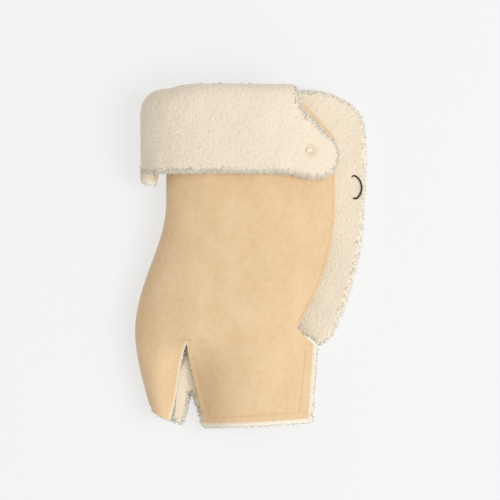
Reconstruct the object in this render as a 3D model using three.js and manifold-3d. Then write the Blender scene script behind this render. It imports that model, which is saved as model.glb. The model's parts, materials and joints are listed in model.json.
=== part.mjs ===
// A shearling hand mitt lying on its back: suede outside, wool inside, a turned-down wool cuff,
// a vent with a fold-out flap, an elastic loop and a toggle, and open thumb and finger ends.
// Millimetres. +X is across the hand, +Y runs from the fingers to the wrist, +Z is up.
import * as THREE from 'three';
import { mergeVertices } from 'three/addons/utils/BufferGeometryUtils.js';
import Module from 'manifold-3d';

const wasm = await Module();
wasm.setup();

// ---- Driving sizes ----
const mittLength = 328; // finger end to the top of the cuff's fold
const wristWidth = 160; // front panel at the wrist
const thumbBulge = 30; // how far the thumb side stands out past the wrist
const flapWidth = 30; // back panel seen past the front panel's vent edge
const fingerWidth = 102; // hand opening, across the suede
const slitLength = 77; // thumb slit, from its top to the finger end
const cuffDepth = 86; // from the cuff's fold to its hem

// ---- Skin ----
const hide = 1.6; // suede thickness
const pile = 9; // wool inside the mitt
const thumbPile = 4.5; // wool inside the thumb, clipped short so that a thumb has room
const cuffPile = 14; // wool on the cuff
const floorPile = 10; // cuff wool pressed flat under the mitt
const gap = 0.3; // clearance between touching pieces
const fringe = 4.5; // wool standing past a cut edge
const foldClearance = 1.2; // between a panel's end and the cuff's fold

// ---- Heights of the stuffed mitt ----
const fingerThickness = 46; // over both panels, at the finger end
const palmThickness = 52;
const wristThickness = 46;
const seamHeightShare = 0.45; // the left seam's height as a share of the thickness
const seamGap = 2; // between the panels' edges in the left seam
const roundRadius = 13; // smallest bend of the skin at the left seam
const roundShare = 0.42; // share of a panel's section that is rounded
const slitLevel = 20; // front panel beside the slit
const ventLevel = 26; // front panel at the vent's edge
const sideSeamLevel = 17; // front panel at the sewn side
const easeLeft = 9; // slack between cuff and panel at the left
const easeTop = 3; // slack between cuff and panel in front
const easeBack = 1; // slack between cuff and panel underneath

// ---- Fastening ----
const loopCord = 1.9; // diameter of the elastic
const toggleLength = 5.6;
const toggleDiameter = 2.6;
const shankDiameter = 1;
const threadDiameter = 0.8;

// ---- Places worked out from the sizes ----
const top = mittLength / 2;
const bottom = -mittLength / 2;
const wristLeft = -wristWidth / 2;
const wristRight = wristWidth / 2;
const palmLeft = wristLeft - thumbBulge;
const outerRight = wristRight + flapWidth;
const slitTop = bottom + fringe + slitLength;
const slitX = wristLeft + 19.5;
const fingerLeft = slitX + 16;
const sideTaper = 5; // the hand narrows by this much at the finger end
const endSlant = 4.5; // the hand opening's right corner sits this much higher
const fingerRight = fingerLeft + fingerWidth - sideTaper;
const seamTop = slitTop - 3;
const seamTopX = fingerRight + sideTaper + 1.5;
const ventCorner = new THREE.Vector2(wristRight - 36.5, slitTop + 14);
const hemY = top - cuffDepth;
const hideHemY = hemY + fringe;
const necklineY = top - 51;
const tipHingeX = wristRight / 2;
const flapHingeX = wristRight + 4;
const raise = easeBack + hide + gap + floorPile; // the back cuff lifts the back panel this far
const farLeft = palmLeft - 40;
const farTop = top + 40;
const panelEnd = bottom - 12;
const prismLow = -30;
const prismHeight = 200;

const { lerp, clamp } = THREE.MathUtils;
const smooth = (from, to, t) => THREE.MathUtils.smoothstep(t, from, to);
const vec2 = (x, y) => new THREE.Vector2(x, y);
const vec3 = (x, y, z) => new THREE.Vector3(x, y, z);

// ---- Edges seen from above ----

// A curve that rises in Y, sampled so that its X can be read at any Y.
function edgeReader(curve, samples) {
  const points = curve.getPoints(samples);
  return (y) => {
    let i = 1;
    while (i < points.length - 1 && points[i].y < y) i += 1;
    const a = points[i - 1];
    const b = points[i];
    return lerp(a.x, b.x, clamp((y - a.y) / (b.y - a.y), 0, 1));
  };
}

// The rounded left side: thumb tip, palm and wrist.
function leftCurve() {
  const path = new THREE.Path();
  path.moveTo(palmLeft + 8, panelEnd);
  path.lineTo(palmLeft + 15, bottom + 17);
  path.bezierCurveTo(palmLeft + 9.5, bottom + 36, palmLeft, slitTop - 15, palmLeft, slitTop + 10);
  path.bezierCurveTo(palmLeft, slitTop + 55, wristLeft, hemY - 68, wristLeft, hemY - 28);
  path.lineTo(wristLeft, farTop);
  return path;
}

// The vent's edge of the front panel, from its lower corner up to the neckline.
function ventCurve() {
  const path = new THREE.Path();
  path.moveTo(ventCorner.x, ventCorner.y);
  path.bezierCurveTo(
    ventCorner.x + 18, ventCorner.y + 26,
    wristRight - 1, hemY - 80,
    wristRight, hemY - 33,
  );
  path.lineTo(wristRight, necklineY);
  return path;
}

// The right edge of the front panel all the way up, for the fall of its surface.
function rightCurve() {
  const path = new THREE.Path();
  path.moveTo(fingerRight, panelEnd);
  path.lineTo(seamTopX, seamTop);
  path.lineTo(ventCorner.x, ventCorner.y);
  path.curves.push(...ventCurve().curves);
  path.curves.push(new THREE.LineCurve(vec2(wristRight, necklineY), vec2(wristRight, farTop)));
  return path;
}

const leftX = edgeReader(leftCurve(), 24);
const rightX = edgeReader(rightCurve(), 24);

// The flap's free edge, from the vent's lower end round to the back of the neck.
function outerCurve(inset) {
  const edge = outerRight - inset;
  const neckX = wristRight - 28;
  const path = new THREE.Path();
  path.moveTo(ventCorner.x + 20, seamTop - 1);
  path.bezierCurveTo(edge - 28, seamTop - 1, edge - 16, slitTop + 46, edge - 7, slitTop + 79);
  path.bezierCurveTo(edge - 3, slitTop + 99, edge - 1, hemY - 40, edge, necklineY - 10);
  path.bezierCurveTo(edge, top - 34 - inset, edge - 3, top - 28 - inset, edge - 18, top - 18 - inset);
  path.bezierCurveTo(edge - 34, top - 9 - inset, edge - 42, top - 7 - inset, neckX, top - 6.5 - inset);
  return path;
}

// ---- Stuffed surfaces of the two panels ----

function thickness(y) {
  const palm = lerp(fingerThickness, palmThickness, smooth(bottom, slitTop + 30, y));
  return lerp(palm, wristThickness, smooth(0, hemY - 8, y));
}

// Height of the back panel's underside: flat, and lifted where the cuff lies under it.
function backLevel(x, y) {
  const along = smooth(-5, hideHemY - 22, y);
  const across = 1 - smooth(tipHingeX + 6, wristRight, x);
  return raise * along * across;
}

const seamLevel = (y) => backLevel(0, y) + seamHeightShare * thickness(y);
const crownLevel = (y) => backLevel(0, y) + thickness(y);

// Wool depth inside a panel, shorter in the thumb.
function pileAt(x, y) {
  const along = 1 - smooth(slitTop - 15, slitTop + 20, y);
  const across = 1 - smooth(slitX - 14, slitX + 6, x);
  return lerp(pile, thumbPile, along * across);
}

const fleeceTop = (x, y) => backLevel(x, y) + hide + gap + pileAt(x, y);

// How far the front panel falls towards its right edge.
function sideFall(x, y) {
  const reach = 8;
  const edge = (rightX(y - reach) + rightX(y) + rightX(y + reach)) / 3;
  const crownX = -10;
  const t = clamp((x - crownX) / (edge - crownX), 0, 1);
  const edgeLevel = lerp(sideSeamLevel, ventLevel, smooth(seamTop - 10, ventCorner.y, y));
  return (crownLevel(y) - edgeLevel) * t ** 2.6;
}

// How far the front panel dips into the thumb slit.
function slitDip(x, y) {
  const along = 1 - smooth(slitTop - 38, slitTop + 14, y);
  const spread = 20;
  return (crownLevel(y) - slitLevel) * along * Math.exp(-(((x - slitX) / spread) ** 2));
}

// One panel's cross-section: a quarter ellipse up from the left seam, then straight on.
function sectionPoint(u, y, height, limit) {
  const round = (height * height) / roundRadius;
  const angle = Math.min(u / roundShare, 1) * Math.PI / 2;
  const beyond = Math.max(u - roundShare, 0) / (1 - roundShare);
  const width = limit - leftX(y) - round;
  return { x: leftX(y) + round * (1 - Math.cos(angle)) + beyond * width, rise: height * Math.sin(angle) };
}

function frontSurface(u, y) {
  const start = seamLevel(y) + seamGap / 2;
  const { x, rise } = sectionPoint(u, y, crownLevel(y) - start, wristRight + 14);
  const z = start + rise - sideFall(x, y) - slitDip(x, y);
  return vec3(x, y, z);
}

function backSurface(u, y) {
  const start = seamLevel(y) - seamGap / 2;
  const { x, rise } = sectionPoint(u, y, start - backLevel(0, y), outerRight + 6);
  const lifted = backLevel(x, y) - backLevel(0, y);
  return vec3(x, y, start - rise + lifted * smooth(tipHingeX, wristRight, x));
}

// A point at a distance off a surface, along its outward normal.
function offset(surface, u, y, distance) {
  const du = 1e-3;
  const dy = 0.5;
  const across = surface(Math.min(u + du, 1), y).sub(surface(Math.max(u - du, 0), y));
  const along = surface(u, y + dy).sub(surface(u, y - dy));
  const normal = across.cross(along).normalize();
  const side = surface === backSurface ? -1 : 1;
  return surface(u, y).addScaledVector(normal, side * distance);
}

// The share across the section at which a panel reaches an X at the wrist.
function shareAt(surface, x) {
  let low = 0;
  let high = 1;
  while (high - low > 1e-4) {
    const middle = (low + high) / 2;
    if (surface(middle, hemY).x < x) low = middle;
    else high = middle;
  }
  return low;
}

// ---- Finishes ----

const suede = { color: 0xe6c89d, roughness: 0.95, metalness: 0 };
const wool = { color: 0xecdec8, roughness: 1, metalness: 0 };
const thread = { color: 0xe9d3ad, roughness: 0.8, metalness: 0 };
const elastic = { color: 0x3c2d1e, roughness: 0.7, metalness: 0 };
const horn = { color: 0xfff8df, roughness: 0.35, metalness: 0 };

function part(name, shape, finish) {
  const geometry = shape.getMesh ? toGeometry(shape) : shape;
  const mesh = new THREE.Mesh(geometry, new THREE.MeshStandardMaterial(finish));
  mesh.name = name;
  return mesh;
}

// ---- Solids ----

function toManifold(geometry) {
  const bare = geometry.index ? geometry.clone() : geometry;
  bare.deleteAttribute('normal');
  bare.deleteAttribute('uv');
  const merged = mergeVertices(bare, 1e-4);
  return new wasm.Manifold(new wasm.Mesh({
    numProp: 3,
    vertProperties: new Float32Array(merged.attributes.position.array),
    triVerts: new Uint32Array(merged.index.array),
  }));
}

function toGeometry(manifold) {
  const mesh = manifold.getMesh();
  const geometry = new THREE.BufferGeometry();
  geometry.setAttribute('position', new THREE.BufferAttribute(mesh.vertProperties, 3));
  geometry.setIndex(new THREE.BufferAttribute(mesh.triVerts, 1));
  return geometry;
}

// A closed solid between two grids of points, low(u, v) and high(u, v).
// The second lies on the side that the cross product of the u and v directions points to.
function solidBetween(low, high, columns, rows) {
  const positions = [];
  const indices = [];
  const stride = columns + 1;
  const layer = stride * (rows + 1);
  for (const side of [low, high]) {
    for (let j = 0; j <= rows; j += 1) {
      for (let i = 0; i <= columns; i += 1) positions.push(...side(i / columns, j / rows).toArray());
    }
  }
  const quad = (a, b, c, d) => indices.push(a, b, c, a, c, d);
  for (let j = 0; j < rows; j += 1) {
    for (let i = 0; i < columns; i += 1) {
      const a = j * stride + i;
      quad(a, a + stride, a + stride + 1, a + 1);
      quad(layer + a, layer + a + 1, layer + a + stride + 1, layer + a + stride);
    }
  }
  for (let i = 0; i < columns; i += 1) {
    const end = rows * stride + i;
    quad(i, i + 1, layer + i + 1, layer + i);
    quad(end + 1, end, layer + end, layer + end + 1);
  }
  for (let j = 0; j < rows; j += 1) {
    const a = j * stride;
    const b = a + columns;
    quad(a + stride, a, layer + a, layer + a + stride);
    quad(b, b + stride, layer + b + stride, layer + b);
  }
  const geometry = new THREE.BufferGeometry();
  geometry.setAttribute('position', new THREE.Float32BufferAttribute(positions, 3));
  geometry.setIndex(indices);
  return toManifold(geometry);
}

function slab(shape, low, high) {
  const depth = high - low;
  const geometry = new THREE.ExtrudeGeometry(shape, { depth, bevelEnabled: false, curveSegments: 8 });
  geometry.translate(0, 0, low);
  return toManifold(geometry);
}

// An upright prism of an outline, tall enough to cut through everything.
function prism(shape) {
  return slab(shape, prismLow, prismLow + prismHeight);
}

// A round thread or cord along points.
function strand(points, diameter, steps, sides) {
  const section = new THREE.Shape();
  for (let i = 0; i < sides; i += 1) {
    const angle = (i / sides) * Math.PI * 2;
    const x = (diameter / 2) * Math.cos(angle);
    const y = (diameter / 2) * Math.sin(angle);
    if (i === 0) section.moveTo(x, y);
    else section.lineTo(x, y);
  }
  const extrudePath = new THREE.CatmullRomCurve3(points);
  return new THREE.ExtrudeGeometry(section, { extrudePath, steps, bevelEnabled: false });
}

// ---- Outlines of the cut pieces ----

// Round the thumb's cut end to the start of the slit.
function traceThumbEnd(shape) {
  shape.moveTo(farLeft, bottom + 49);
  shape.lineTo(palmLeft + 32, bottom + 7.5);
}

// The hand opening's end and the sewn side; grow widens it for the fringe.
function traceFingerEnd(shape, grow) {
  shape.lineTo(fingerLeft - grow / 3, bottom + fringe - grow);
  shape.lineTo(fingerRight + grow, bottom + fringe + endSlant - grow);
  shape.lineTo(seamTopX + grow, seamTop);
}

function frontOutline(grow) {
  const shape = new THREE.Shape();
  const inset = grow / 2;
  traceThumbEnd(shape);
  shape.bezierCurveTo(slitX - 8, slitTop - 48, slitX - 9, slitTop - 20, slitX - 0.5, slitTop);
  shape.bezierCurveTo(
    slitX + 1, slitTop - 20,
    slitX + 8, slitTop - 41,
    fingerLeft - grow / 3, bottom + fringe,
  );
  traceFingerEnd(shape, grow);
  for (const point of ventCurve().getPoints(8)) shape.lineTo(point.x - inset, point.y);
  shape.lineTo(tipHingeX + 4, top - 12);
  shape.lineTo(tipHingeX + 4, farTop);
  shape.lineTo(farLeft, farTop);
  return shape;
}

function backOutline(grow) {
  const shape = new THREE.Shape();
  traceThumbEnd(shape);
  shape.lineTo(slitX - 8, bottom + fringe);
  shape.quadraticCurveTo(slitX - 2, bottom + 10, slitX + 2.5, slitTop - 49);
  shape.quadraticCurveTo(slitX + 9, slitTop - 57, fingerLeft - grow / 3, bottom + fringe);
  traceFingerEnd(shape, grow);
  for (const point of outerCurve(fringe - grow).getPoints(6)) shape.lineTo(point.x, point.y);
  shape.lineTo(tipHingeX + 2, top - 9);
  shape.lineTo(tipHingeX + 2, farTop);
  shape.lineTo(farLeft, farTop);
  return shape;
}

// Everything left of an upright plane.
function leftOf(x) {
  const shape = new THREE.Shape();
  shape.moveTo(farLeft, bottom - 50);
  shape.lineTo(x, bottom - 50);
  shape.lineTo(x, farTop);
  shape.lineTo(farLeft, farTop);
  return shape;
}

// The cuff's loose end: its slanted cut, rounded point and hem, right of its fold line.
function cuffTipOutline(grow) {
  const left = tipHingeX + gap;
  const low = hideHemY - grow;
  const shape = new THREE.Shape();
  shape.moveTo(left, low + 1);
  shape.quadraticCurveTo(tipHingeX + 20, low - 9, wristRight - 10, low + 2);
  shape.quadraticCurveTo(wristRight + 5, low + 17, wristRight - 3, low + 28);
  shape.lineTo(left + 4, top - 12);
  shape.lineTo(left, top - 12);
  return shape;
}

// ---- Panels ----

const columns = 18;
const rows = 20;

// Slack between the cuff and a panel, from the left seam to the middle of the wrist.
const frontEase = (u) => lerp(easeLeft, easeTop, smooth(0, roundShare, u));
const backEase = (u) => lerp(easeLeft, easeBack, smooth(0, roundShare, u));

// The height of the fold's middle, level with the panel's end under it.
// Its crest drops towards both ends of the fold.
function foldY(u) {
  const leftDrop = 7 * (1 - smooth(0, roundShare, u));
  const rightDrop = smooth(0.55, 0.75, u);
  const radius = (frontEase(u) + hide) / 2;
  return top - leftDrop - rightDrop - cuffPile - gap - hide / 2 - radius;
}

function panelY(u, v, ending) {
  return lerp(panelEnd, ending(u), v);
}

// A layer's depth under a surface; the wool's full depth gives way to the thumb's shorter wool.
function layerDepth(depth, surface, u, y) {
  const shorter = pile - pileAt(surface(u, y).x, y);
  return depth > hide + pile ? depth - shorter : depth;
}

function frontLayer(outer, inner) {
  const ending = (u) => foldY(u) - foldClearance;
  const point = (depth) => (u, v) => {
    const y = panelY(u, v, ending);
    const p = offset(frontSurface, u, y, -layerDepth(depth, frontSurface, u, y));
    if (depth > hide) p.z = Math.max(p.z, fleeceTop(p.x, y) + gap);
    return p;
  };
  return solidBetween(point(inner), point(outer), columns, rows);
}

function frontHide() {
  return frontLayer(0, hide).intersect(prism(frontOutline(0)));
}

function frontFleece() {
  return frontLayer(hide + gap, hide + gap + pile).intersect(prism(frontOutline(fringe)));
}

// The back panel runs past the fold line to the neck edge where no cuff is turned down.
function backLayer(outer, inner) {
  const neckFrom = shareAt(backSurface, tipHingeX + 2);
  const neckTo = shareAt(backSurface, tipHingeX + 12);
  const ending = (u) => lerp(foldY(u) - foldClearance, top - 5, smooth(neckFrom, neckTo, u));
  const point = (depth) => (u, v) => {
    const y = panelY(u, v, ending);
    return offset(backSurface, u, y, -layerDepth(depth, backSurface, u, y));
  };
  return solidBetween(point(outer), point(inner), columns + 6, rows);
}

function backHide() {
  const kept = prism(backOutline(0)).intersect(prism(leftOf(flapHingeX - gap)));
  return backLayer(0, hide).intersect(kept);
}

function backFleece() {
  const kept = prism(backOutline(fringe)).intersect(prism(leftOf(flapHingeX - gap)));
  return backLayer(hide + gap, hide + gap + pile).intersect(kept);
}

// ---- Cuff ----

// The cuff's skin in section: up inside, over the fold and down outside to its hem.
// v runs along it; the answer is its place along the mitt and its height off the panel.
function cuffPath(u, v, hem, lift, ease) {
  const radius = (ease(u) + hide) / 2;
  const foldShare = 0.4;
  const reach = radius + lift;
  if (v <= foldShare) {
    const angle = (v / foldShare) * Math.PI - Math.PI / 2;
    return {
      y: foldY(u) + reach * Math.cos(angle),
      height: radius - hide / 2 + reach * Math.sin(angle),
    };
  }
  const t = (v - foldShare) / (1 - foldShare);
  return { y: lerp(foldY(u), hem, t), height: radius - hide / 2 + reach };
}

function cuffLayer(surface, uEnd, hem, ease, from, to, floorLift = 0) {
  const point = (lift) => (s, v) => {
    const u = s * uEnd;
    const insideLift = lift > hide ? lerp(hide / 2 + gap + pile, lift, smooth(0, 0.2, v)) : lift;
    const { y, height } = cuffPath(u, v, hem, insideLift, ease);
    const p = offset(surface, u, y, height);
    p.z = Math.max(p.z, floorLift);
    return p;
  };
  const layers = surface === frontSurface ? [to, from] : [from, to];
  return solidBetween(point(layers[0]), point(layers[1]), 10, 15);
}

const hideFrom = -hide / 2;
const hideTo = hide / 2;
const woolFrom = hide / 2 + gap;
const woolTo = woolFrom + cuffPile;

function frontCuffHide() {
  const uEnd = shareAt(frontSurface, tipHingeX + 4);
  return cuffLayer(frontSurface, uEnd, hideHemY, frontEase, hideFrom, hideTo)
    .intersect(prism(leftOf(tipHingeX - gap)));
}

function frontCuffFleece() {
  const uEnd = shareAt(frontSurface, tipHingeX + 4);
  return cuffLayer(frontSurface, uEnd, hemY, frontEase, woolFrom, woolTo)
    .intersect(prism(leftOf(tipHingeX - gap)));
}

function backCuffHide() {
  const uEnd = shareAt(backSurface, tipHingeX - 8);
  return cuffLayer(backSurface, uEnd, hideHemY - 11, backEase, hideFrom, hideTo);
}

function backCuffFleece() {
  const uEnd = shareAt(backSurface, tipHingeX - 8);
  return cuffLayer(backSurface, uEnd, hemY - 11, backEase, woolFrom, woolTo);
}

// The loose end lies on the front panel, past the fold.
function tipLayer(from, to) {
  const uStart = shareAt(frontSurface, tipHingeX - 14);
  const low = hemY - 14;
  const point = (height) => (s, v) => offset(frontSurface, lerp(uStart, 1, s), lerp(low, top - 6, v), height);
  return solidBetween(point(from), point(to), 10, 10);
}

// ---- Toggle near the tip of the cuff ----

const toggleX = tipHingeX + 7.5;
const toggleY = top - 64.5;
const toggleSeat = easeTop + hide + gap + cuffPile;

// The toggle's frame: its place on the wool and the way its stem points.
function toggleFrame() {
  const u = shareAt(frontSurface, toggleX);
  const seat = offset(frontSurface, u, toggleY, toggleSeat);
  const base = offset(frontSurface, u, toggleY, easeTop);
  const axis = seat.clone().sub(base).normalize();
  return { seat, base, axis };
}

// A round rod or disc along the toggle's stem, between two distances from the cuff's skin.
function stemCylinder(diameter, from, to, sides) {
  const { base, axis } = toggleFrame();
  const geometry = new THREE.CylinderGeometry(diameter / 2, diameter / 2, to - from, sides);
  geometry.applyQuaternion(new THREE.Quaternion().setFromUnitVectors(vec3(0, 1, 0), axis));
  const centre = base.addScaledVector(axis, (from + to) / 2);
  geometry.translate(centre.x, centre.y, centre.z);
  return toManifold(geometry);
}

const seatDistance = toggleSeat - easeTop;
const wellDepth = toggleDiameter;
const wellDiameter = toggleLength + 4 * gap;
const stayDiameter = 5;
const stayThickness = 1;
const shankTop = seatDistance - wellDepth + gap;

function stemHole() {
  return stemCylinder(shankDiameter + 2 * gap, -3, seatDistance + 4, 12);
}

function toggleWell() {
  return stemCylinder(wellDiameter, seatDistance - wellDepth, seatDistance + 8, 20);
}

function cuffTipHide() {
  return tipLayer(easeTop, easeTop + hide).intersect(prism(cuffTipOutline(0))).subtract(stemHole());
}

function cuffTipFleece() {
  return tipLayer(easeTop + hide + gap, toggleSeat)
    .intersect(prism(cuffTipOutline(fringe)))
    .subtract(stemHole())
    .subtract(toggleWell());
}

function toggleShank() {
  return stemCylinder(shankDiameter, -gap / 2, shankTop, 10);
}

function toggleStay() {
  return stemCylinder(stayDiameter, -gap / 2 - gap - stayThickness, -gap / 2 - gap, 18);
}

// A small bar with round ends, lying across its stem.
function toggleBar() {
  const { base, axis } = toggleFrame();
  const geometry = new THREE.CapsuleGeometry(toggleDiameter / 2, toggleLength - toggleDiameter, 5, 12);
  geometry.rotateZ(Math.PI / 2);
  geometry.applyQuaternion(new THREE.Quaternion().setFromUnitVectors(vec3(0, 0, 1), axis));
  const centre = base.addScaledVector(axis, shankTop + gap + toggleDiameter / 2);
  geometry.translate(centre.x, centre.y, centre.z);
  return toManifold(geometry);
}

// ---- Flap ----

const flapLift = 0.4; // it rests just clear of the floor
const flapHideTop = flapLift + hide;
const flapTop = pile + hide - gap;

function flapOutline(grow) {
  const shape = new THREE.Shape();
  const left = flapHingeX + gap;
  const points = outerCurve(fringe - grow).getPoints(8).filter((p) => p.x > left + 1);
  shape.moveTo(left, points[0].y - 0.5);
  for (const point of points) shape.lineTo(point.x, point.y);
  shape.lineTo(left, points[points.length - 1].y + 0.5);
  return shape;
}

// ---- Elastic loop on the flap ----

const loopHeight = flapTop + gap + loopCord / 2;
const loopUpper = vec3(flapHingeX + 10.7, hemY - 4, loopHeight);
const loopLower = vec3(flapHingeX + 12.9, hemY - 23.2, loopHeight);

function loopRoute() {
  const reach = outerRight - 4.2;
  return [
    loopUpper,
    vec3(loopUpper.x + 4.3, loopUpper.y + 2.2, loopHeight),
    vec3(reach - 2.6, loopUpper.y - 2.6, loopHeight),
    vec3(reach, loopUpper.y - 10.2, loopHeight),
    vec3(reach - 1.8, loopLower.y + 3.2, loopHeight),
    vec3(loopLower.x + 3.8, loopLower.y - 0.3, loopHeight),
    loopLower,
  ];
}

// A stitched end: a plug of thread from the skin up to the loop's end.
function loopStitch(end) {
  const height = flapTop - gap - flapHideTop - gap;
  const geometry = new THREE.CylinderGeometry(loopCord / 2, loopCord / 2, height, 12);
  geometry.rotateX(Math.PI / 2);
  geometry.translate(end.x, end.y, flapHideTop + gap + height / 2);
  return toManifold(geometry);
}

function stitchHole(end) {
  const geometry = new THREE.CylinderGeometry(loopCord / 2 + gap, loopCord / 2 + gap, 30, 12);
  geometry.rotateX(Math.PI / 2);
  geometry.translate(end.x, end.y, flapHideTop + 15);
  return toManifold(geometry);
}

function flapHide() {
  return slab(flapOutline(0), flapLift, flapHideTop);
}

function flapFleece() {
  return slab(flapOutline(fringe), flapHideTop + gap, flapTop)
    .subtract(stitchHole(loopUpper))
    .subtract(stitchHole(loopLower));
}

// ---- Stitching ----

const frontPanel = part('front_hide', frontHide(), suede);

// A point above the front panel's suede at a place seen from above.
function onFront(x, y, lift) {
  const down = new THREE.Raycaster(vec3(x, y, prismHeight), vec3(0, 0, -1));
  return down.intersectObject(frontPanel)[0].point.add(vec3(0, 0, lift));
}

const threadLift = threadDiameter / 2 + 0.6;
const handInset = 5.5;
const ventInset = 2.2;

function handTopstitch() {
  const left = fingerLeft + handInset;
  const right = fingerRight - handInset;
  const low = bottom + fringe + handInset;
  const corner = 2;
  const route = [];
  for (let t = 0; t < 1; t += 0.1) {
    route.push(vec2(lerp(slitX + 6, left, t ** 1.3), lerp(slitTop - 14, low + corner, t)));
  }
  for (let t = 0; t <= 1; t += 0.05) {
    route.push(vec2(lerp(left + corner, right - corner, t), lerp(low, low + endSlant, t)));
  }
  for (let t = 0.1; t <= 1; t += 0.1) {
    route.push(vec2(lerp(right, right + sideTaper, t), lerp(low + endSlant, seamTop - 4, t)));
  }
  return strand(route.map((p) => onFront(p.x, p.y, threadLift)), threadDiameter, 80, 6);
}

function ventTopstitch() {
  const edge = ventCurve().getSpacedPoints(30);
  const points = edge.slice(1, -1).map((p) => onFront(p.x - ventInset, p.y, threadLift));
  return strand(points, threadDiameter, 50, 6);
}

// A short close-stitched bar across the top of the thumb slit, level with its higher end.
function barTack() {
  const length = 7.6;
  const width = 1.2;
  const y = slitTop + 2.2;
  const ends = [slitX - length / 2, slitX + length / 2].map((x) => onFront(x, y, threadLift).z);
  const geometry = new THREE.BoxGeometry(length, width, threadDiameter);
  geometry.translate(slitX, y, Math.max(...ends));
  return geometry;
}

function leftSeamThread() {
  const points = [];
  for (let y = bottom + 22; y < top - 40; y += 10) {
    const front = offset(frontSurface, 0, y, -hide / 2);
    const back = offset(backSurface, 0, y, -hide / 2);
    points.push(front.lerp(back, 0.5));
  }
  return strand(points, threadDiameter, 50, 6);
}

// ---- Assembly ----

const mitt = new THREE.Group();
mitt.add(
  frontPanel,
  part('front_fleece', frontFleece(), wool),
  part('back_hide', backHide(), suede),
  part('back_fleece', backFleece(), wool),
  part('front_cuff_hide', frontCuffHide(), suede),
  part('front_cuff_fleece', frontCuffFleece(), wool),
  part('back_cuff_hide', backCuffHide(), suede),
  part('back_cuff_fleece', backCuffFleece(), wool),
  part('hand_topstitch', handTopstitch(), thread),
  part('vent_topstitch', ventTopstitch(), thread),
  part('bar_tack', barTack(), thread),
  part('left_seam_thread', leftSeamThread(), thread),
  part('cuff_tip_hide', cuffTipHide(), suede),
  part('cuff_tip_fleece', cuffTipFleece(), wool),
  part('toggle_shank', toggleShank(), thread),
  part('toggle_stay', toggleStay(), horn),
  part('toggle', toggleBar(), horn),
  part('flap_hide', flapHide(), suede),
  part('flap_fleece', flapFleece(), wool),
  part('loop_stitch_upper', loopStitch(loopUpper), thread),
  part('loop_stitch_lower', loopStitch(loopLower), thread),
  part('closure_loop', strand(loopRoute(), loopCord, 28, 8), elastic),
);

export default mitt;
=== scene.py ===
"""A shearling hand mitt lying on its back: suede skins, curly wool, sewing, a loop and a toggle.

Metres, in the frame's axes: +X across the hand, +Y from the fingers to the wrist, +Z up.
"""
import json

import bmesh
import bpy
import numpy as np
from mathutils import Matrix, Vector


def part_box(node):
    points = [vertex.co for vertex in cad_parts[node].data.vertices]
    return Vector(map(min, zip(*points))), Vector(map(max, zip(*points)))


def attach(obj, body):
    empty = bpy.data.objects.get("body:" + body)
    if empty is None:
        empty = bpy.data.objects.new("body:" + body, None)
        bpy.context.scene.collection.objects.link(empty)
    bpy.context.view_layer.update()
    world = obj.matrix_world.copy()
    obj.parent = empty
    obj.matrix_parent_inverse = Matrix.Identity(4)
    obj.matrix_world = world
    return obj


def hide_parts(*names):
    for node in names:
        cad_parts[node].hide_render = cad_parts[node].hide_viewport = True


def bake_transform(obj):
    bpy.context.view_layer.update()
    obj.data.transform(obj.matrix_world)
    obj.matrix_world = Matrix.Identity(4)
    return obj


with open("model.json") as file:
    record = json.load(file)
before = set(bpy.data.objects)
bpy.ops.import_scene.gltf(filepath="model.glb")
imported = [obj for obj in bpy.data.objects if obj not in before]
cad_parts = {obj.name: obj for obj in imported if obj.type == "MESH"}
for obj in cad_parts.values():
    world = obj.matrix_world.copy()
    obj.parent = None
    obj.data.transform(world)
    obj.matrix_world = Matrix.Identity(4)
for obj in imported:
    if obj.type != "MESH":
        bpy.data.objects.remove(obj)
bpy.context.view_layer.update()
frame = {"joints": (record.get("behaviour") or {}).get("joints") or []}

MM = 0.001
joints = {joint["name"]: joint for joint in frame["joints"]}


# ---- Sizes read from the frame ----

def low(node):
    """The least X, Y and Z of a node's box."""
    return np.array(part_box(node)[0])


def high(node):
    """The greatest X, Y and Z of a node's box."""
    return np.array(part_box(node)[1])


def middle(node):
    """The centre of a node's box."""
    return (low(node) + high(node)) / 2


hide = high("flap_hide")[2] - low("flap_hide")[2]
gap = low("flap_fleece")[2] - high("flap_hide")[2]
pile = high("flap_fleece")[2] + gap - hide
cuff_pile = high("front_cuff_fleece")[2] - high("front_cuff_hide")[2] - gap
top = high("front_cuff_fleece")[1]
bottom = low("front_fleece")[1]
wrist_right = high("front_hide")[0]
wrist_left = -wrist_right
palm_left = low("front_hide")[0]
outer_right = high("flap_fleece")[0]
hem_y = low("front_cuff_fleece")[1]
hide_hem_y = low("front_cuff_hide")[1]
fringe = hide_hem_y - hem_y
back_hem_y = low("back_cuff_fleece")[1]
tip_hinge_x = joints["cuff_tip_lift"]["pos_m"][0]
flap_hinge_x = joints["flap_fold"]["pos_m"][0]
slit_x = middle("bar_tack")[0]
slit_top = middle("bar_tack")[1] - 2.2 * MM

# ---- Shape of the stuffed mitt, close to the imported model's ----
finger_thickness = 46 * MM
palm_thickness = 52 * MM
wrist_thickness = 46 * MM
thumb_pile = pile / 2
seam_share = 0.45  # the left seam's height as a share of the thickness
seam_gap = 0.8 * MM
round_radius = 13 * MM  # smallest bend of the skin at the left seam
round_share = 0.42  # share of a panel's section that is rounded
slit_level = 20 * MM  # front panel beside the slit
vent_level = 26 * MM  # front panel at the vent's edge
side_level = 17 * MM  # front panel at the sewn side
ease_left = 9 * MM  # slack between cuff and panel at the left
ease_top = 3 * MM
ease_back = 1 * MM
raised = low("back_cuff_hide")[2] + hide + ease_back  # the back cuff lifts the panel this far
finger_left = slit_x + 16 * MM
side_taper = 5 * MM
end_slant = 4.5 * MM
finger_right = finger_left + 97 * MM
seam_top = slit_top - 3 * MM
seam_top_x = finger_right + side_taper + 1.5 * MM
vent_x = wrist_right - 36.5 * MM
vent_y = slit_top + 14 * MM
neckline = top - 51 * MM
notch_x = slit_x + 2.5 * MM
notch_y = slit_top - 49 * MM
thumb_end_x = palm_left + 32 * MM
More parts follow.
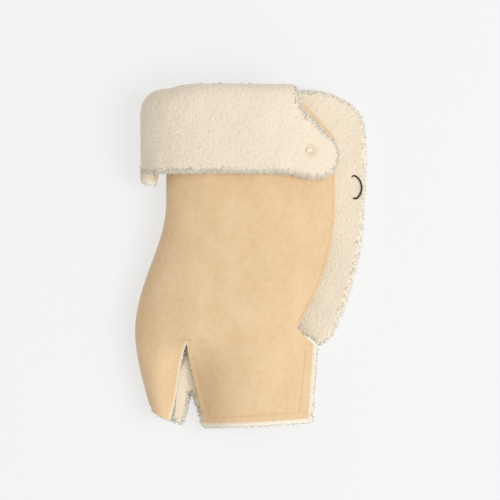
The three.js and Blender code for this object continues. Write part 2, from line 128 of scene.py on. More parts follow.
thumb_end_y = bottom + 7.5 * MM
panel_end = bottom - 12 * MM
nub_height = 0.6 * MM
drift_height = 0.6 * MM
far_top = top + 40 * MM
toggle_middle = middle("toggle")


# ---- Arithmetic on whole arrays ----

def mix(a, b, t):
    """The value a share t of the way from a to b."""
    return a + (b - a) * t


def smooth(start, end, t):
    """Zero before start, one after end, and three t squared less two t cubed between."""
    t = np.clip((t - start) / (end - start), 0, 1)
    return t * t * (3 - 2 * t)


def bezier(a, b, c, d, count=16):
    """Points of a cubic curve: the four corners weighted by Bernstein's polynomials."""
    t = np.linspace(0, 1, count)[:, None]
    a, b, c, d = (np.array(p, float) for p in (a, b, c, d))
    return a * (1 - t) ** 3 + 3 * b * t * (1 - t) ** 2 + 3 * c * t * t * (1 - t) + d * t ** 3


def line(*points):
    """Points as an array."""
    return np.array(points, float)


def x_at(edge, y):
    """An edge's X at any Y, where the edge's points rise in Y."""
    return np.interp(y, edge[:, 1], edge[:, 0])


def chance(cells, seed):
    """A repeatable number from 0 to 1 for each whole-numbered cell: the fraction of a large sine."""
    mixed = cells @ np.array([127.1, 311.7, 74.7]) + seed * 19.19
    return np.abs(np.sin(mixed) * 43758.5453) % 1


def waves(points, size, seed):
    """Smooth noise from -1 to 1: the chances at a cell's eight corners, blended by smoothstep."""
    scaled = points / size
    cell = np.floor(scaled)
    t = scaled - cell
    t = t * t * (3 - 2 * t)
    total = np.zeros(points.shape[:-1])
    for corner in np.ndindex(2, 2, 2):
        weight = np.prod(np.where(corner, t, 1 - t), axis=-1)
        total += weight * chance(cell + corner, seed)
    return total * 2 - 1


def curls(points, size, seed):
    """Packed nubs from 0 to 1: one less the squared distance to the nearest jittered centre."""
    scaled = points / size
    cell = np.floor(scaled)
    nearest = np.full(points.shape[:-1], 4.0)
    for step in np.ndindex(3, 3, 3):
        other = cell + step - 1
        jitter = np.stack([chance(other, seed + axis) for axis in range(3)], -1)
        nearest = np.minimum(nearest, ((scaled - other - jitter) ** 2).sum(-1))
    return 1 - np.clip(nearest, 0, 1)


def distance_to(points, targets):
    """Each point's distance to the nearest target, a few thousand points at a time."""
    parts = np.array_split(points, max(1, len(points) // 2000))
    square = (targets ** 2).sum(-1)
    near = [((p ** 2).sum(-1)[:, None] + square - 2 * p @ targets.T).min(1) for p in parts]
    return np.sqrt(np.clip(np.concatenate(near), 0, None))


# ---- Edges seen from above ----

left_edge = np.vstack([
    line((palm_left + 8 * MM, panel_end)),
    bezier(
        (palm_left + 15 * MM, bottom + 17 * MM), (palm_left + 9.5 * MM, bottom + 36 * MM),
        (palm_left, slit_top - 15 * MM), (palm_left, slit_top + 10 * MM),
    ),
    bezier(
        (palm_left, slit_top + 10 * MM), (palm_left, slit_top + 55 * MM),
        (wrist_left, hem_y - 68 * MM), (wrist_left, hem_y - 28 * MM),
    )[1:],
    line((wrist_left, far_top)),
])

side_edge = line((finger_right, panel_end), (seam_top_x, seam_top))

vent_edge = np.vstack([
    bezier(
        (vent_x, vent_y), (vent_x + 18 * MM, vent_y + 26 * MM),
        (wrist_right - 1 * MM, hem_y - 80 * MM), (wrist_right, hem_y - 33 * MM), 32,
    ),
    line((wrist_right, neckline)),
])

fall_edge = np.vstack([side_edge, vent_edge, line((wrist_right, far_top))])
front_edge = np.vstack([side_edge, vent_edge, line((tip_hinge_x + 4 * MM, top - 12 * MM))])


def slit_sides(grow):
    """The front panel's two cut edges beside the thumb slit, up to where they meet."""
    apex = (slit_x - 0.5 * MM, slit_top)
    thumb = bezier(
        (thumb_end_x + grow / 3, thumb_end_y), (slit_x - 8 * MM + grow / 3, slit_top - 48 * MM),
        (slit_x - 9 * MM + grow / 3, slit_top - 20 * MM), apex, 32,
    )
    hand = bezier(
        (finger_left - grow / 3, bottom + fringe), (slit_x + 8 * MM, slit_top - 41 * MM),
        (slit_x + 1 * MM, slit_top - 20 * MM), apex, 32,
    )
    return thumb, hand


def notch_sides(grow):
    """The back panel's two edges beside the notch between thumb and hand."""
    apex = (notch_x, notch_y)
    thumb = bezier(
        (slit_x - 5 * MM, bottom + fringe - grow / 2), (slit_x - 1 * MM, bottom + 10 * MM),
        (slit_x, bottom + 20 * MM), apex, 24,
    )
    hand = bezier(
        (finger_left - grow / 3, bottom + fringe), (slit_x + 11 * MM, bottom + 12 * MM),
        (slit_x + 6 * MM, slit_top - 53 * MM), apex, 24,
    )
    return thumb, hand


def flap_edge(inset):
    """The flap's free edge, from the vent's lower end round to the back of the neck."""
    edge = outer_right - inset
    return np.vstack([
        bezier(
            (vent_x + 20 * MM, seam_top - 1 * MM), (edge - 28 * MM, seam_top - 1 * MM),
            (edge - 16 * MM, slit_top + 46 * MM), (edge - 7 * MM, slit_top + 79 * MM), 32,
        ),
        bezier(
            (edge - 7 * MM, slit_top + 79 * MM), (edge - 3 * MM, slit_top + 99 * MM),
            (edge - 1 * MM, hem_y - 40 * MM), (edge, neckline - 10 * MM), 32,
        )[1:],
        bezier(
            (edge, neckline - 10 * MM), (edge, top - 34 * MM - inset),
            (edge - 3 * MM, top - 28 * MM - inset), (edge - 18 * MM, top - 18 * MM - inset), 32,
        )[1:],
        bezier(
            (edge - 18 * MM, top - 18 * MM - inset), (edge - 34 * MM, top - 9 * MM - inset),
            (edge - 42 * MM, top - 7 * MM - inset), (wrist_right - 28 * MM, top - 6.5 * MM - inset), 32,
        )[1:],
    ])


# ---- Stuffed surfaces of the two panels ----

def thickness(y):
    """The stuffed height, eased from fingers to palm and from palm to wrist."""
    palm = mix(finger_thickness, palm_thickness, smooth(bottom, slit_top + 30 * MM, y))
    return mix(palm, wrist_thickness, smooth(0, hem_y - 8 * MM, y))


def back_level(x, y):
    """The underside's height: flat, and lifted where the cuff lies under it."""
    along = smooth(-5 * MM, hide_hem_y - 22 * MM, y)
    across = 1 - smooth(tip_hinge_x, outer_right - 5 * MM, x)
    return raised * along * across


def crown_level(y):
    """A section's highest level: the underside's height and the thickness."""
    return back_level(0, y) + thickness(y)


def seam_level(y):
    """The left seam's level: the underside's height and a share of the thickness."""
    return back_level(0, y) + seam_share * thickness(y)


def pile_at(x, y):
    """Wool depth inside a panel, shorter in the thumb."""
    along = 1 - smooth(slit_top - 15 * MM, slit_top + 20 * MM, y)
    across = 1 - smooth(slit_x - 14 * MM, slit_x + 6 * MM, x)
    return mix(pile, thumb_pile, along * across)


def side_fall(x, y):
    """How far the front falls towards its right edge: a power of the way from the crown."""
    reach = 8 * MM
    edge = (x_at(fall_edge, y - reach) + x_at(fall_edge, y) + x_at(fall_edge, y + reach)) / 3
    crown_x = -10 * MM
    t = np.clip((x - crown_x) / (edge - crown_x), 0, 1)
    edge_level = mix(side_level, vent_level, smooth(seam_top - 10 * MM, vent_y, y))
    return (crown_level(y) - edge_level) * t ** 2.6


def slit_dip(x, y):
    """How far the front dips into the thumb slit: a bell curve across it."""
    along = 1 - smooth(slit_top - 38 * MM, slit_top + 14 * MM, y)
    width = np.where(x > slit_x, 27 * MM, 20 * MM)
    return (crown_level(y) - slit_level) * along * np.exp(-(((x - slit_x) / width) ** 2))


def ripple(x, y):
    """Shallow hollows and swells of a soft skin: two sizes of smooth noise in the plane."""
    plan = np.stack([x, y, np.zeros_like(x)], -1)
    return 0.9 * MM * waves(plan, 52 * MM, 3) + 0.3 * MM * waves(plan, 19 * MM, 8)


def section(u, y, height, limit):
    """A panel's cross-section: a quarter ellipse up from the left seam, then straight on."""
    turn = height * height / round_radius
    angle = np.minimum(u / round_share, 1) * np.pi / 2
    beyond = np.maximum(u - round_share, 0) / (1 - round_share)
    left = x_at(left_edge, y)
    return left + turn * (1 - np.cos(angle)) + beyond * (limit - left - turn), height * np.sin(angle)


def share_at(x, y, height, limit):
    """The section's share at which it reaches an X, the reverse of section."""
    turn = height * height / round_radius
    from_left = x - x_at(left_edge, y)
    rounded = round_share * np.arccos(1 - np.clip(from_left / turn, 0, 1)) / (np.pi / 2)
    straight = (from_left - turn) / (limit - x_at(left_edge, y) - turn)
    return np.where(from_left < turn, rounded, round_share + (1 - round_share) * straight)


class FrontPanel:
    """The panel on top. Its outward side is up."""
    side = 1
    limit = wrist_right + 14 * MM

    def height(self, y):
        """The rise from the left seam to the crown."""
        return crown_level(y) - seam_level(y) - seam_gap / 2

    def surface(self, u, y):
        """The section above the seam, less the falls to the side and the slit, with ripples."""
        x, rise = section(u, y, self.height(y), self.limit)
        start = seam_level(y) + seam_gap / 2
        soft = ripple(x, y) * smooth(0, 0.2, u)
        return np.stack([x, y, start + rise - side_fall(x, y) - slit_dip(x, y) + soft], -1)


class BackPanel:
    """The panel underneath, with the flap past the vent. Its outward side is down."""
    side = -1
    limit = outer_right + 6 * MM

    def height(self, y):
        """The drop from the left seam to the underside."""
        return seam_level(y) - seam_gap / 2 - back_level(0, y)

    def surface(self, u, y):
        """The section below the seam, raised where the cuff lies under it and at the flap."""
        x, rise = section(u, y, self.height(y), self.limit)
        lifted = back_level(x, y) - back_level(0, y)
        level = seam_level(y) - seam_gap / 2 - rise + lifted
        return np.stack([x, y, level + low("flap_hide")[2] * smooth(tip_hinge_x, wrist_right, x)], -1)


front = FrontPanel()
back = BackPanel()


def share_of(panel, x, y):
    """A panel's share of its section at places seen from above."""
    return share_at(x, y, panel.height(y), panel.limit)


def offset(panel, u, y, distance):
    """Points at a distance off a panel, along the normal taken from its neighbours."""
    du = 1e-3
    dy = 0.5 * MM
    y = np.broadcast_to(y, np.shape(u)).astype(float)
    across = panel.surface(np.minimum(u + du, 1), y) - panel.surface(np.maximum(u - du, 0), y)
    along = panel.surface(u, y + dy) - panel.surface(u, y - dy)
    normal = np.cross(across, along)
    normal /= np.linalg.norm(normal, axis=-1, keepdims=True)
    return panel.surface(u, y) + panel.side * normal * np.asarray(distance)[..., None]


# ---- Meshes ----

def grid_faces(shape, start=0):
    """The four-sided faces of a grid of points numbered row by row."""
    rows, columns = shape
    index = start + np.arange(rows * columns).reshape(rows, columns)
    corners = [index[:-1, :-1], index[:-1, 1:], index[1:, 1:], index[1:, :-1]]
    return np.stack([c.ravel() for c in corners], -1)


def welded(grids):
    """Several grids as one sheet: (points, faces, kept), shared edges merged where they coincide."""
    points = np.vstack([g.reshape(-1, 3) for g in grids])
    starts = np.cumsum([0] + [g.shape[0] * g.shape[1] for g in grids])
    faces = np.vstack([grid_faces(g.shape[:2], s) for g, s in zip(grids, starts)])
    keys = np.round(points / (0.01 * MM)).astype(int)
    _, kept, renumbered = np.unique(keys, axis=0, return_index=True, return_inverse=True)
    return points[kept], renumbered.ravel()[faces], kept


def rim_of(faces):
    """The directed edges that only one face uses."""
    edges = np.vstack([faces[:, [k, (k + 1) % 4]] for k in range(4)])
    _, first, uses = np.unique(np.sort(edges, axis=1), axis=0, return_index=True, return_counts=True)
    return edges[first[uses == 1]]


def between(outer, inner, faces):
    """The closed body between two copies of a sheet, joined by a strip round the rim."""
    count = len(outer)
    rim = rim_of(faces)
    strip = np.stack([rim[:, 1], rim[:, 0], rim[:, 0] + count, rim[:, 1] + count], -1)
    return np.vstack([outer, inner]), np.vstack([faces, faces[:, ::-1] + count, strip])


def volume(points, faces):
    """Six times the enclosed volume: crossed corners of each face, negative when turned inwards."""
    a, b, c, d = (points[faces[:, k]] for k in range(4))
    return (np.cross(a, b) * c).sum() + (np.cross(a, c) * d).sum()


def add_mesh(name, points, faces, material, marks=None, sharp=None):
    """A mesh object from whole arrays, with its doubles merged and its faces turned outwards."""
    if volume(points, faces) < 0:
        faces = faces[:, ::-1]
    mesh = bpy.data.meshes.new(name)
    mesh.from_pydata(points, [], faces.tolist())
    for mark, values in (marks or {}).items():
        mesh.attributes.new(mark, "FLOAT", "POINT").data.foreach_set("value", values.astype(np.float32))
    work = bmesh.new()
    work.from_mesh(mesh)
    bmesh.ops.remove_doubles(work, verts=work.verts, dist=0.002 * MM)
    work.to_mesh(mesh)
    work.free()
    mesh.shade_smooth()
    if sharp:
        mesh.set_sharp_from_angle(angle=np.radians(sharp))
    mesh.materials.append(material)
    made = bpy.data.objects.new(name, mesh)
    bpy.context.scene.collection.objects.link(made)
    return made


def tube(path, radius, sides=8):
    """A round tube along points: circles in the plane of two directions square to the path."""
    along = np.gradient(path, axis=0)
    along /= np.linalg.norm(along, axis=1, keepdims=True)
    reference = np.array([0.31, 0.17, 0.93])
    first = np.cross(along, reference)
    first /= np.linalg.norm(first, axis=1, keepdims=True)
    second = np.cross(along, first)
    angle = np.linspace(0, 2 * np.pi, sides, endpoint=False)
    radius = np.broadcast_to(radius, (len(path), sides))[..., None]
    ring = first[:, None] * np.cos(angle)[:, None] + second[:, None] * np.sin(angle)[:, None]
    return path[:, None] + ring * radius


def closed_tube(rings):
    """(points, faces) of a tube whose rings wrap round and whose ends meet in a point."""
    rows, sides = rings.shape[:2]
    start = np.repeat(rings[:1].mean(1, keepdims=True), sides, 1)
    end = np.repeat(rings[-1:].mean(1, keepdims=True), sides, 1)
    full = np.concatenate([start, rings, end])
    wrapped = np.concatenate([full, full[:, :1]], 1)
    return wrapped.reshape(-1, 3), grid_faces((rows + 2, sides + 1))


def tube_row(tubes):
    """(points, faces) of several tubes as one mesh, each closed at its ends."""
    made = [closed_tube(rings) for rings in tubes]
    starts = np.cumsum([0] + [len(points) for points, _ in made])
    faces = [faces + start for (_, faces), start in zip(made, starts)]
    return np.vstack([points for points, _ in made]), np.vstack(faces)


def spline(points, count):
    """A smooth curve through points: each stretch a cubic whose slopes come from its neighbours."""
    points = np.array(points, float)
    padded = np.vstack([2 * points[0] - points[1], points, 2 * points[-1] - points[-2]])
    t = np.linspace(0, len(points) - 1, count)
    i = np.minimum(t.astype(int), len(points) - 2)
    f = (t - i)[:, None]
    a, b, c, d = (padded[i + k] for k in range(4))
    square = a - 2.5 * b + 2 * c - d / 2
    cube = 1.5 * (b - c) + (d - a) / 2
    return b + f * (c - a) / 2 + f * f * square + f ** 3 * cube


# ---- Materials ----

def rgb(red, green, blue):
    """A display colour, 0 to 255, as the linear colour that a shader takes."""
    c = np.array([red, green, blue]) / 255
    c = np.where(c > 0.04045, ((c + 0.055) / 1.055) ** 2.4, c / 12.92)
    return (*(float(v) for v in c), 1.0)


class Value:
    """A number that varies over a surface. Python's operators on it add Math nodes."""

    def __init__(self, paint, socket):
        self.paint = paint
        self.socket = socket

    def math(self, operation, first, second):
        """A Math node on two values or numbers."""
        settings = {"operation": operation}
        return Value(self.paint, self.paint.add("ShaderNodeMath", settings, {0: first, 1: second}))

    def __add__(self, other):
        return self.math("ADD", self, other)

    def __radd__(self, other):
        return self.math("ADD", other, self)

    def __sub__(self, other):
        return self.math("SUBTRACT", self, other)

    def __rsub__(self, other):
        return self.math("SUBTRACT", other, self)

    def __mul__(self, other):
        return self.math("MULTIPLY", self, other)

    def __rmul__(self, other):
        return self.math("MULTIPLY", other, self)


class Paint:
    """A material under construction, with its Principled shader."""

    def __init__(self, name, **constants):
        self.material = bpy.data.materials.new(name)
        self.material.use_nodes = True
        self.tree = self.material.node_tree
        self.shader = self.tree.nodes["Principled BSDF"]
        for socket, value in constants.items():
            self.shader.inputs[socket.replace("_", " ")].default_value = value
        place = self.tree.nodes.new("ShaderNodeTexCoord")
        self.place = place.outputs["Object"]

    def add(self, kind, settings, sockets, output=0):
        """A node of a kind: its settings first, then its sockets' values or links."""
        node = self.tree.nodes.new(kind)
        for name, value in settings.items():
            setattr(node, name, value)
        for key, value in sockets.items():
            value = value.socket if isinstance(value, Value) else value
            if isinstance(value, bpy.types.NodeSocket):
                self.tree.links.new(value, node.inputs[key])
            else:
                node.inputs[key].default_value = value
        return node.outputs[output]

    def noise(self, size, detail=2.0, stretch=(1, 1, 1)):
        """Fractal noise, 0 to 1, whose lumps are about size metres across."""
        place = self.add("ShaderNodeMapping", {}, {"Vector": self.place, "Scale": stretch})
        sockets = {"Vector": place, "Scale": 1 / size, "Detail": detail, "Roughness": 0.6}
        return Value(self, self.add("ShaderNodeTexNoise", {}, sockets, "Fac"))

    def cells(self, size):
        """The distance from the nearest of scattered centres, 0 to 1, softly rounded between them."""
        settings = {"feature": "SMOOTH_F1"}
        sockets = {"Vector": self.place, "Scale": 1 / size, "Smoothness": 0.25}
        return Value(self, self.add("ShaderNodeTexVoronoi", settings, sockets, "Distance"))

    def mark(self, name):
        """A value that the piece itself carries at each point."""
        return Value(self, self.add("ShaderNodeAttribute", {"attribute_name": name}, {}, "Fac"))

    def blend(self, factor, first, second):
        """A colour between two, by a factor."""
        settings = {"data_type": "RGBA", "clamp_factor": True}
        return self.add("ShaderNodeMix", settings, {0: factor, 6: first, 7: second}, 2)

    def colour(self, socket):
        """The colour of the surface."""
        self.tree.links.new(socket, self.shader.inputs["Base Color"])

    def rough(self, value):
        """The roughness of the surface."""
        self.tree.links.new(value.socket, self.shader.inputs["Roughness"])

    def bump(self, height, distance):
        """Fine relief: a height from 0 to 1 that stands for a distance."""
        normal = self.add("ShaderNodeBump", {}, {"Height": height, "Distance": distance, "Strength": 1.0})
        self.tree.links.new(normal, self.shader.inputs["Normal"])


def suede_paint():
    """Brushed suede: mottled nap, fine grain, darker in its stitched grooves, pale where it is cut."""
    paint = Paint("suede", Sheen_Weight=0.25, Sheen_Roughness=0.45, Specular_IOR_Level=0.15)
    nap = paint.noise(26 * MM, 3.0, (1, 0.6, 1))
    mottle = paint.noise(5 * MM, 4.0)
    grain = paint.noise(0.9 * MM, 3.0)
    tone = nap * 0.9 + mottle * 0.8 + grain * 0.5 - 0.6
    brushed = paint.blend(tone, rgb(219, 184, 140), rgb(240, 211, 172))
    grooved = paint.blend(paint.mark("groove") * 0.3, brushed, rgb(206, 164, 114))
    paint.colour(paint.blend(paint.mark("raw"), grooved, rgb(248, 236, 212)))
    paint.rough(grain * 0.12 + 0.86)
    paint.bump(grain * 0.6 + mottle * 0.9 + nap * 1.2, 0.35 * MM)
    return paint.material


def wool_paint():
    """Clipped curled wool: two creams drifting in tone, painted shade between the curls, under the wool and
    at the tufts' roots, painted light near its cut edges, fine fibres.
    """
    paint = Paint("wool", Sheen_Weight=0.3, Sheen_Roughness=0.6, Specular_IOR_Level=0.1)
    drift = paint.noise(30 * MM, 2.0)
    fibre = paint.noise(0.8 * MM, 4.0)
    pebble = 1 - paint.cells(2.6 * MM)
    tips = paint.blend(drift, rgb(241, 227, 204), rgb(246, 232, 212))
    # Painted shade: darker where the tip mark and the cells are low, between the curls, on the inner face and
    # at the tufts' roots.
    depth = (1 - paint.mark("tip")) * 0.35 + (0.7 - pebble) * 0.5 + (fibre - 0.5) * 0.3
    wool_with_painted_shade = paint.blend(depth, tips, rgb(226, 206, 176))
    # Painted light: paler near the cut edges, to offset the shade on their steep sides.
    paint.colour(paint.blend(paint.mark("fringe") * 0.8, wool_with_painted_shade, rgb(250, 247, 235)))
    paint.rough(fibre * 0.1 + 0.88)
    paint.bump(fibre * 0.4 + pebble * 1.2, 0.5 * MM)
    return paint.material


def thread_paint():
    """Waxed thread, twisted: fine slanting strands."""
    paint = Paint("thread", Specular_IOR_Level=0.3)
    strand = paint.noise(0.35 * MM, 2.0)
    paint.colour(paint.blend(strand, rgb(226, 194, 150), rgb(244, 220, 180)))
    paint.rough(strand * 0.2 + 0.55)
    paint.bump(strand, 0.08 * MM)
    return paint.material


def elastic_paint():
    """Braided elastic, dark brown, lighter on the braid's ridges and in random patches."""
    paint = Paint("elastic", Specular_IOR_Level=0.3, Sheen_Weight=0.15)
    wear = paint.noise(1.2 * MM, 3.0)
    ridge = paint.mark("tip")
    braid_colour = paint.blend(wear * 0.5 + ridge * 0.5, rgb(38, 27, 17), rgb(84, 66, 47))
    paint.colour(braid_colour)
    paint.rough(wear * 0.2 + 0.6)
    paint.bump(wear, 0.06 * MM)
    return paint.material


def horn_paint():
    """Polished pale horn: faint streaks along the bar."""
    paint = Paint("horn", Coat_Weight=0.3, Coat_Roughness=0.2, Specular_IOR_Level=0.5)
    streak = paint.noise(0.8 * MM, 3.0, (0.3, 1, 1))
    paint.colour(paint.blend(streak, rgb(250, 244, 226), rgb(255, 253, 244)))
    paint.rough(streak * 0.15 + 0.25)
    paint.bump(streak, 0.02 * MM)
    return paint.material


# ---- Lattices of the panels ----

def lattice(panel, left, right, columns, top_y):
    """(u, y) grids between two edges: even in Y and in u, the last rows drawn to the top line."""
    s = np.linspace(0, 1, columns + 1)
    y = mix(left[:, 1:], right[:, 1:], s)
    u = mix(share_of(panel, left[:, :1], y), share_of(panel, right[:, :1], y), s)
    x = panel.surface(u, y)[..., 0]
    t = np.linspace(0, 1, len(left))[:, None]
    y = y + (top_y(u, x) - mix(left[-1, 1], right[-1, 1], s)) * smooth(0.65, 1, t)
    return u, y


under_fold = 1.2 * MM  # a panel ends this far short of the cuff's fold


def fold_drop(u):
    """Where the cuff folds over: its crest drops towards both ends."""
    left_drop = 7 * MM * (1 - smooth(0, round_share, u))
    right_drop = 1 * MM * smooth(0.55, 0.75, u)
    radius = (cuff_ease(front, u) + hide) / 2
    return top - left_drop - right_drop - cuff_pile - gap - hide / 2 - radius


def cuff_ease(panel, u):
    """The slack between cuff and panel, which shrinks from the left seam to the flat part."""
    flat = ease_top if panel is front else ease_back
    return mix(ease_left, flat, smooth(0, round_share, u))


def rising(knots, counts):
    """Levels that pass through the knots, with a number of even steps between each two."""
    stretches = [np.linspace(a, b, n, endpoint=False) for a, b, n in zip(knots[:-1], knots[1:], counts)]
    return np.concatenate(stretches + [[knots[-1]]])


def on_left_seam(y):
    """Places along the left seam at each Y."""
    return np.stack([x_at(left_edge, y), y], -1)


def front_lattices(grow):
    """The front panel as two lattices that part below the top of the thumb slit."""
    thumb_side, hand_side = slit_sides(grow)
    cap = fold_drop(np.array(0.5)) - under_fold
    rise = rising([slit_top, vent_y, neckline, cap], [8, 108, 14])
    t = np.linspace(0, 1, 60, endpoint=False)
    end = bottom + fringe
    seam = np.concatenate([mix(thumb_end_y + 9.5 * MM, slit_top, t), rise])
    thumb = np.concatenate([mix(thumb_end_y, slit_top, t), rise])
    hand = np.concatenate([mix(end, slit_top, t), rise])
    side = np.concatenate([np.interp(t, [0, 0.9, 1], [end + end_slant - grow, seam_top, slit_top]), rise])
    hand_low = grow * (1 - smooth(0, 0.12, np.linspace(0, 1, len(hand))))
    outward = mix(grow, -grow / 2, smooth(seam_top - 2 * MM, vent_y, side))
    thumb_xy = np.stack([x_at(thumb_side, thumb), thumb], -1)
    hand_xy = np.stack([x_at(hand_side, hand), hand - hand_low], -1)
    side_xy = np.stack([x_at(front_edge, side) + outward, side], -1)

    def ending(u, x):
        """The top line: just under the cuff's fold, whatever the X."""
        return fold_drop(u) - under_fold

    return [
        lattice(front, on_left_seam(seam), thumb_xy, 44, ending),
        lattice(front, hand_xy, side_xy, 96, ending),
    ]


def back_lattices(grow):
    """The back panel with its flap, as two lattices that part below the notch."""
    thumb_side, hand_side = notch_sides(grow)
    sewn_top = seam_top - 1.5 * MM
    outer = np.vstack([
        line(
            (finger_right + grow, bottom + fringe + end_slant - grow),
            (seam_top_x + grow, sewn_top),
        ),
        flap_edge(fringe - grow),
    ])
    corner = int(np.argmax(outer.sum(1)))
    over = outer[corner:][::-1]
    rise = rising([notch_y, sewn_top, outer[corner, 1]], [28, 132])
    t = np.linspace(0, 1, 30, endpoint=False)
    end = bottom + fringe
    seam = np.concatenate([mix(thumb_end_y + 9.5 * MM, notch_y, t), rise])
    thumb = np.concatenate([mix(end - grow / 2, notch_y, t), rise])
    hand = np.concatenate([mix(end, notch_y, t), rise])
    side = np.concatenate([mix(end + end_slant - grow, notch_y, t), rise])
    hand_low = grow * (1 - smooth(0, 0.12, np.linspace(0, 1, len(hand))))
    thumb_xy = np.stack([x_at(thumb_side, thumb), thumb], -1)
    hand_xy = np.stack([x_at(hand_side, hand), hand - hand_low], -1)
    side_xy = np.stack([x_at(outer, side), side], -1)

    def ending(u, x):
        """The top line: under the cuff's fold, then along the flap's upper edge."""
        neck = np.interp(x, over[:, 0], over[:, 1])
        return mix(fold_drop(u) - under_fold, neck, smooth(tip_hinge_x - 7 * MM, tip_hinge_x + 3 * MM, x))

    return [
        lattice(back, on_left_seam(seam), thumb_xy, 44, ending),
        lattice(back, hand_xy, side_xy, 112, ending),
    ]


# ---- Skins ----

def groove_near(points, route, width=1.3 * MM):
    """One on a line of sewing, falling to nothing at a width from it, seen from above."""
    return 1 - smooth(0, width, distance_to(points[:, :2], route[:, :2]))


def skin(name, panel, lattices, flare, material, routes=(), cut=None):
    """A suede skin: its outer face, its inner face a little wider, and the pale cut edge between."""
    outer = [offset(panel, u, y, np.zeros_like(u)) for u, y in lattices]
    inner = [offset(panel, u, y, np.full_like(u, -hide)) for u, y in flare]
    points, faces, kept = welded(outer)
    under = np.vstack([g.reshape(-1, 3) for g in inner])[kept]
    groove = np.zeros(len(points))
    for route in routes:
        groove = np.maximum(groove, groove_near(points, route))
    raw = groove * 0
    if cut is not None:
        raw = groove_near(points, cut, 1.9 * MM) ** 0.5
    depth = groove[:, None] * np.array([0, 0, -0.2 * MM])
    body, all_faces = between(points + depth, under, faces)
    marks = {
        "groove": np.concatenate([groove, groove * 0]),
        "raw": np.concatenate([raw, groove * 0 + 1]),
    }
    made = add_mesh(name, body, all_faces, material, marks, sharp=40)
    cut_area = normals_and_areas(points, faces)[1].sum()
    return made


def cuff_path(panel, u, distance, lift):
    """The cuff's skin in section by the distance along it: round the fold, then down outside."""
    radius = (cuff_ease(panel, u) + hide) / 2
    angle = np.clip(distance / radius, 0, np.pi) - np.pi / 2
    past = np.maximum(distance - np.pi * radius, 0)
    reach = radius + lift
    y = fold_drop(u) + reach * np.cos(angle) - past
    return offset(panel, u, y, radius - hide / 2 + reach * np.sin(angle))


def rows_round_fold(rows):
    """Shares of a cuff's length that are evenly spaced on its wool, which is longer at the fold."""
    share = np.linspace(0, 1, 400)
    distance = share * (top - hem_y)
    bend = np.minimum(distance / ((ease_top + hide) / 2), np.pi)
    length = distance + cuff_pile * bend
    return np.interp(np.linspace(0, length[-1], rows + 1), length, share)


def cuff_lattice(panel, right_edge, top_line, hem_line, columns, rows):
    """(u, distance) grids of a cuff, from its upper cut or fold to its hem."""
    s = np.linspace(0, 1, columns + 1)
    v = rows_round_fold(rows)[:, None]
    u = s * share_of(panel, *right_edge(v))
    x = panel.surface(u, np.full_like(u, hem_y))[..., 0]
    return u, mix(top_line(u[:1], x[:1]), hem_line(u[-1:], x[-1:]), v)


def down_to(panel, u, y):
    """The distance along the cuff's skin at which its outer side reaches a Y."""
    radius = (cuff_ease(panel, u) + hide) / 2
    above = np.clip((y - fold_drop(u)) / radius, 0, 1)
    return radius * (np.pi / 2 + np.arccos(above)) + np.maximum(fold_drop(u) - y, 0)


def front_cuff_lattice(grow, columns, rows):
    """The front cuff with its loose tip: slanted cut at the top right, rounded point, hem."""
    low_y = hide_hem_y - grow
    tip_x = wrist_right - 2 * MM + grow / 3

    def top_line(u, x):
        """The start of the cuff: the fold, and the slanted cut beyond the hinge."""
        cut = np.interp(
            x, [tip_hinge_x, tip_hinge_x + 8 * MM, tip_x - 5 * MM, tip_x],
            [top - 10 * MM, top - 28 * MM, low_y + 26 * MM + grow, low_y + 20 * MM + grow],
        )
        return down_to(front, u, cut) * smooth(tip_hinge_x - 5 * MM, tip_hinge_x + 3 * MM, x)

    def hem_line(u, x):
        """The hem: lower round the hinge, and drawn up by a power at the point."""
        swell = 5 * MM * smooth(tip_hinge_x - 16 * MM, tip_hinge_x + 18 * MM, x)
        lift = 12 * MM * np.clip((x - tip_hinge_x - 24 * MM) / (14 * MM), 0, 1) ** 1.7
        return down_to(front, u, low_y - swell + lift)

    def right_edge(v):
        """The rounded point, furthest right at the middle of its length."""
        return tip_x - 3 * MM * (2 * v - 1) ** 2, mix(low_y + 24 * MM, low_y + 8 * MM, v)

    return cuff_lattice(front, right_edge, top_line, hem_line, columns, rows)


def back_cuff_lattice(grow, columns, rows):
    """The back cuff, from its fold down to a hem that is higher past its left corner."""
    low_y = back_hem_y + fringe - grow

    def top_line(u, x):
        """The start of the cuff: its fold all the way."""
        return 0 * u

    def hem_line(u, x):
        """The hem, eased up just past the left corner."""
        return down_to(back, u, low_y + 14 * MM * smooth(0.02, 0.08, u))

    def right_edge(v):
        """A straight end short of the hinge."""
        return tip_hinge_x - 8 * MM + 0 * v, hem_y + 0 * v

    return cuff_lattice(back, right_edge, top_line, hem_line, columns, rows)


def cuff_skin(name, panel, plain, wide, material):
    """A cuff's suede: two faces half the hide's depth either side of its path, and the cut edge."""
    u, d = plain
    outer = cuff_path(panel, u, d, -hide / 2)
    inner = cuff_path(panel, wide[0], wide[1], hide / 2)
    points, faces, kept = welded([outer])
    under = inner.reshape(-1, 3)[kept]
    body, all_faces = between(points, under, faces)
    marks = {
        "groove": np.zeros(len(body)),
        "raw": np.concatenate([np.zeros(len(points)), np.ones(len(points))]),
    }
    made = add_mesh(name, body, all_faces, material, marks, sharp=40)
    cut_area = normals_and_areas(points, faces)[1].sum()
    return made


# ---- Wool ----

tuft_rings = 6
tuft_sides = 3
tuft_points = tuft_rings * (tuft_sides + 1)
tufts_per_square_mm = 0.6


def rounded(distance, radius):
    """A pillow's edge in section: a quarter circle up to its full height."""
    return np.sqrt(1 - (1 - np.clip(distance / radius, 0, 1)) ** 2)


def normals_and_areas(points, faces):
    """Unit normals, and each point's share of the area, from its faces' crossed diagonals."""
    a, b, c, d = (points[faces[:, k]] for k in range(4))
    flat = np.cross(c - a, d - b)
    total = np.zeros_like(points)
    for k in range(4):
        np.add.at(total, faces[:, k], flat)
    size = np.linalg.norm(total, axis=1)
    return total / np.maximum(size, 1e-12)[:, None], size / 8


